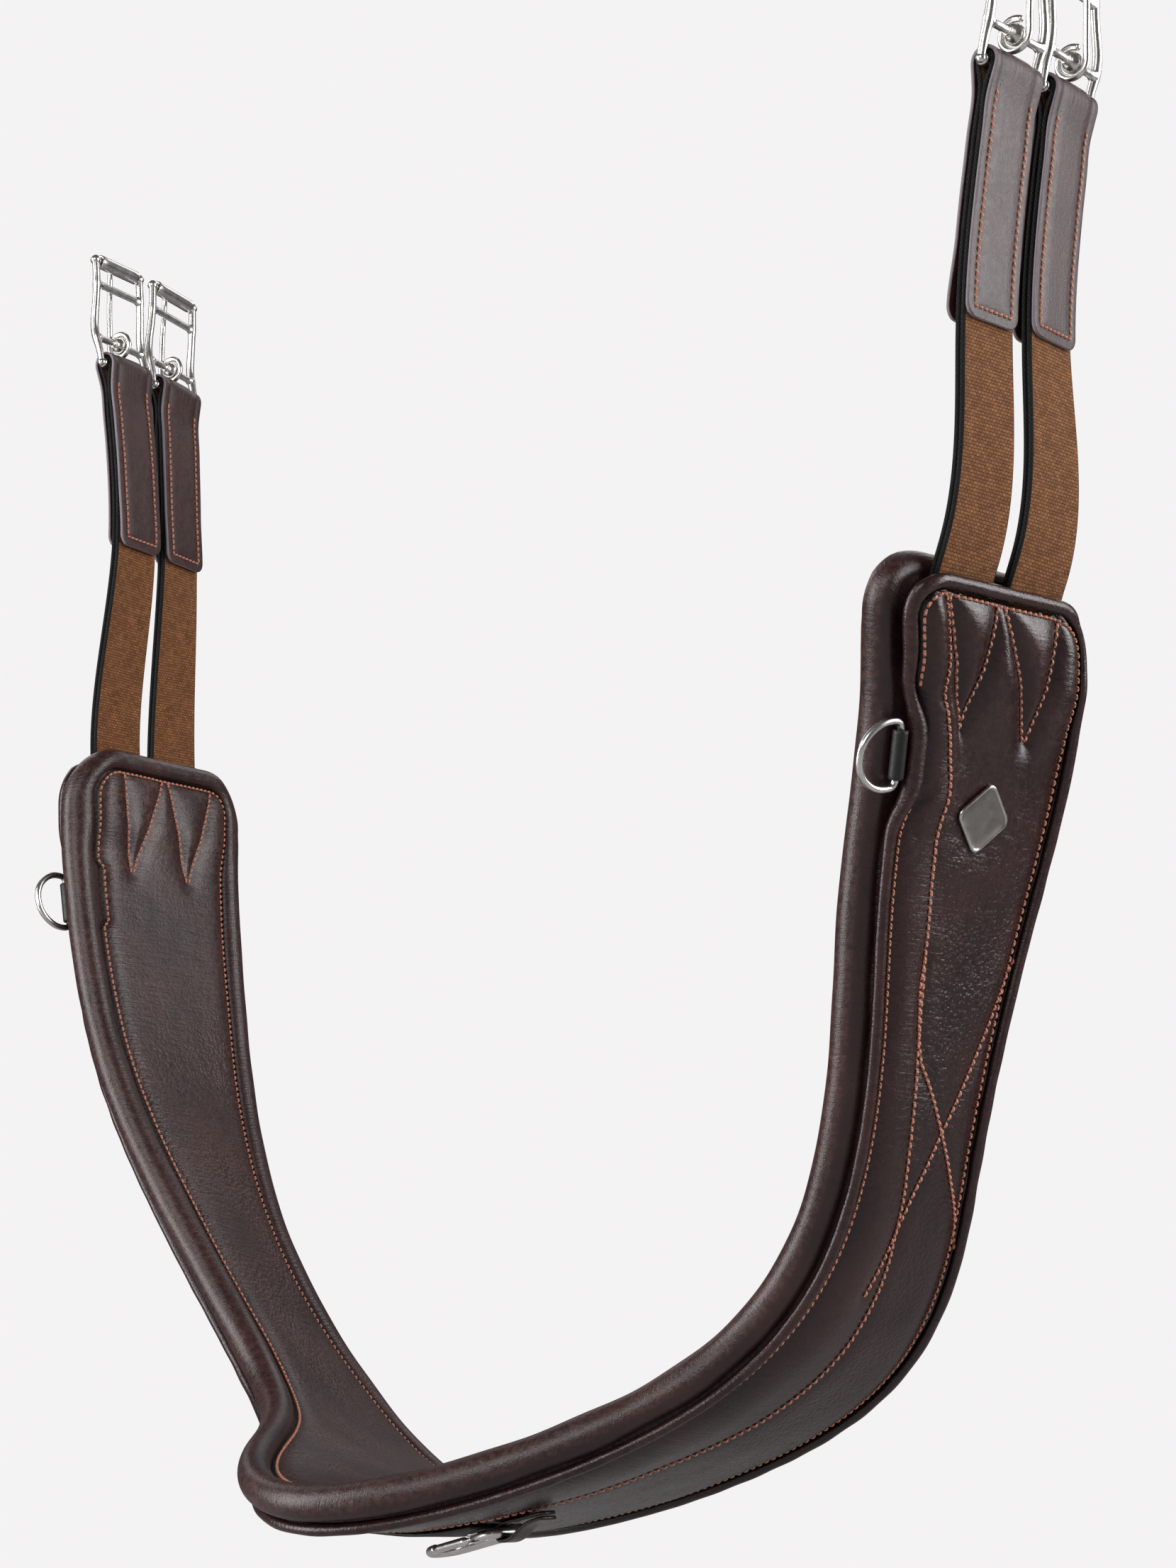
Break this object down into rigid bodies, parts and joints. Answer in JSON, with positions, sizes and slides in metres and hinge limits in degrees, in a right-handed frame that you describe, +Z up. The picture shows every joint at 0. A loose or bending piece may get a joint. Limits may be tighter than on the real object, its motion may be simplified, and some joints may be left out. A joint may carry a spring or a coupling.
{
  "type": "saddle girth",
  "caption": "Padded leather saddle girth hanging in a U, with elastic straps and roller buckles at both ends, D-rings on its front edge and a snap hook underneath.",
  "frame": {"origin": "middle of the four buckle rollers, the point the girth hangs from", "axes": "+Z up along the hanging arms, +Y from the front edge of the body to its back edge, +X from the left arm to the right arm"},
  "size_m": [0.5894, 0.2031, 0.6084],
  "materials": {
    "steel": "polished stainless steel",
    "steel_satin": "satin",
    "leather_outer": "waxed dark brown leather",
    "leather_lining": "soft dark brown leather",
    "leather_dark": "dark leather",
    "elastic": "woven elastic with black edges",
    "foam": "soft foam padding",
    "web": "woven webbing"
  },
  "bodies": {
    "girth": {"lining_leather": "leather_lining", "foam_core": "foam", "load_web_front": "web", "load_web_rear": "web", "outer_panel": "leather_outer", "piping": "leather_outer", "badge": "steel_satin", "dring_tab_left": "leather_dark", "dring_tab_right": "leather_dark", "hook_guard": "leather_dark", "hook_tab": "leather_outer", "elastic_left_front": "elastic", "elastic_left_rear": "elastic", "elastic_right_front": "elastic", "elastic_right_rear": "elastic"},
    "chape_left_front": {"chape_left_front": "leather_outer"},
    "buckle_left_front": {"buckle_left_front": "steel"},
    "tongue_left_front": {"tongue_left_front": "steel"},
    "roller_left_front": {"roller_left_front": "steel"},
    "chape_left_rear": {"chape_left_rear": "leather_outer"},
    "buckle_left_rear": {"buckle_left_rear": "steel"},
    "tongue_left_rear": {"tongue_left_rear": "steel"},
    "roller_left_rear": {"roller_left_rear": "steel"},
    "chape_right_front": {"chape_right_front": "leather_outer"},
    "buckle_right_front": {"buckle_right_front": "steel"},
    "tongue_right_front": {"tongue_right_front": "steel"},
    "roller_right_front": {"roller_right_front": "steel"},
    "chape_right_rear": {"chape_right_rear": "leather_outer"},
    "buckle_right_rear": {"buckle_right_rear": "steel"},
    "tongue_right_rear": {"tongue_right_rear": "steel"},
    "roller_right_rear": {"roller_right_rear": "steel"},
    "dring_left": {"dring_left": "steel"},
    "dring_right": {"dring_right": "steel"},
    "hook": {"hook_body": "steel", "hook_pin": "steel_satin", "hook_spring": "steel_satin"},
    "hook_gate": {"hook_gate": "steel"}
  },
  "joints": [
    {"name": "stretch_left_front", "type": "slide", "parent": "girth", "child": "chape_left_front", "axis": [-0.0819, -0.0293, 0.9962], "range_m": [0, 0.035], "stiffness_N_per_m": 3000, "deforming": ["elastic_left_front"]},
    {"name": "tilt_left_front", "type": "hinge", "parent": "chape_left_front", "child": "buckle_left_front", "pos_m": [-0.2725, -0.0183, -0.04], "axis": [-0.293, 0.9561, 0.0058], "range_deg": [-50, 50]},
    {"name": "swing_tongue_left_front", "type": "hinge", "parent": "buckle_left_front", "child": "tongue_left_front", "pos_m": [-0.27545, -0.01928, -0.02673], "axis": [0.293, -0.9561, -0.0058], "range_deg": [0, 110]},
    {"name": "spin_roller_left_front", "type": "hinge", "parent": "buckle_left_front", "child": "roller_left_front", "pos_m": [-0.27698, -0.01999, 0.01278], "axis": [-0.293, 0.9561, 0.0058], "continuous": true},
    {"name": "stretch_left_rear", "type": "slide", "parent": "girth", "child": "chape_left_rear", "axis": [-0.0967, 0.0321, 0.9948], "range_m": [0, 0.035], "stiffness_N_per_m": 3000, "deforming": ["elastic_left_rear"]},
    {"name": "tilt_left_rear", "type": "hinge", "parent": "chape_left_rear", "child": "buckle_left_rear", "pos_m": [-0.2845, 0.0202, -0.041], "axis": [-0.3202, 0.9458, -0.054], "range_deg": [-50, 50]},
    {"name": "swing_tongue_left_rear", "type": "hinge", "parent": "buckle_left_rear", "child": "tongue_left_rear", "pos_m": [-0.28743, 0.01997, -0.02769], "axis": [0.3202, -0.9458, 0.054], "range_deg": [0, 110]},
    {"name": "spin_roller_left_rear", "type": "hinge", "parent": "buckle_left_rear", "child": "roller_left_rear", "pos_m": [-0.28898, 0.02169, 0.01179], "axis": [-0.3202, 0.9458, -0.054], "continuous": true},
    {"name": "stretch_right_front", "type": "slide", "parent": "girth", "child": "chape_right_front", "axis": [0.1689, 0.0077, 0.9856], "range_m": [0, 0.035], "stiffness_N_per_m": 3000, "deforming": ["elastic_right_front"]},
    {"name": "tilt_right_front", "type": "hinge", "parent": "chape_right_front", "child": "buckle_right_front", "pos_m": [0.2785, -0.0215, -0.066], "axis": [-0.1188, 0.9928, 0.0183], "range_deg": [-50, 50]},
    {"name": "swing_tongue_right_front", "type": "hinge", "parent": "buckle_right_front", "child": "tongue_right_front", "pos_m": [0.28242, -0.02127, -0.05294], "axis": [-0.1188, 0.9928, 0.0183], "range_deg": [0, 110]},
    {"name": "spin_roller_right_front", "type": "hinge", "parent": "buckle_right_front", "child": "roller_right_front", "pos_m": [0.28656, -0.0215, -0.01362], "axis": [-0.1188, 0.9928, 0.0183], "continuous": true},
    {"name": "stretch_right_rear", "type": "slide", "parent": "girth", "child": "chape_right_rear", "axis": [0.1613, -0.0003, 0.9869], "range_m": [0, 0.035], "stiffness_N_per_m": 3000, "deforming": ["elastic_right_rear"]},
    {"name": "tilt_right_rear", "type": "hinge", "parent": "chape_right_rear", "child": "buckle_right_rear", "pos_m": [0.273, 0.0189, -0.063], "axis": [-0.1698, 0.9852, 0.0228], "range_deg": [-50, 50]},
    {"name": "swing_tongue_right_rear", "type": "hinge", "parent": "buckle_right_rear", "child": "tongue_right_rear", "pos_m": [0.27666, 0.01923, -0.04987], "axis": [-0.1698, 0.9852, 0.0228], "range_deg": [0, 110]},
    {"name": "spin_roller_right_rear", "type": "hinge", "parent": "buckle_right_rear", "child": "roller_right_rear", "pos_m": [0.28007, 0.0189, -0.01047], "axis": [-0.1698, 0.9852, 0.0228], "continuous": true},
    {"name": "swing_dring_left", "type": "hinge", "parent": "girth", "child": "dring_left", "pos_m": [-0.26794, -0.04868, -0.30534], "axis": [0.1728, 0.0105, -0.9849], "range_deg": [0, 115]},
    {"name": "swing_dring_right", "type": "hinge", "parent": "girth", "child": "dring_right", "pos_m": [0.22289, -0.02834, -0.30641], "axis": [0.3913, -0.2461, 0.8867], "range_deg": [0, 115]},
    {"name": "swing_hook", "type": "hinge", "parent": "girth", "child": "hook", "pos_m": [0.02139, -0.03692, -0.58098], "axis": [-0.0037, -0.9999, 0.0168], "range_deg": [0, 110]},
    {"name": "open_gate", "type": "hinge", "parent": "hook", "child": "hook_gate", "pos_m": [0.00906, -0.04432, -0.58356], "axis": [0.2149, -0.0172, -0.9765], "range_deg": [0, 22], "stiffness_Nm_per_rad": 0.05, "springref_deg": -17.19}
  ]
}
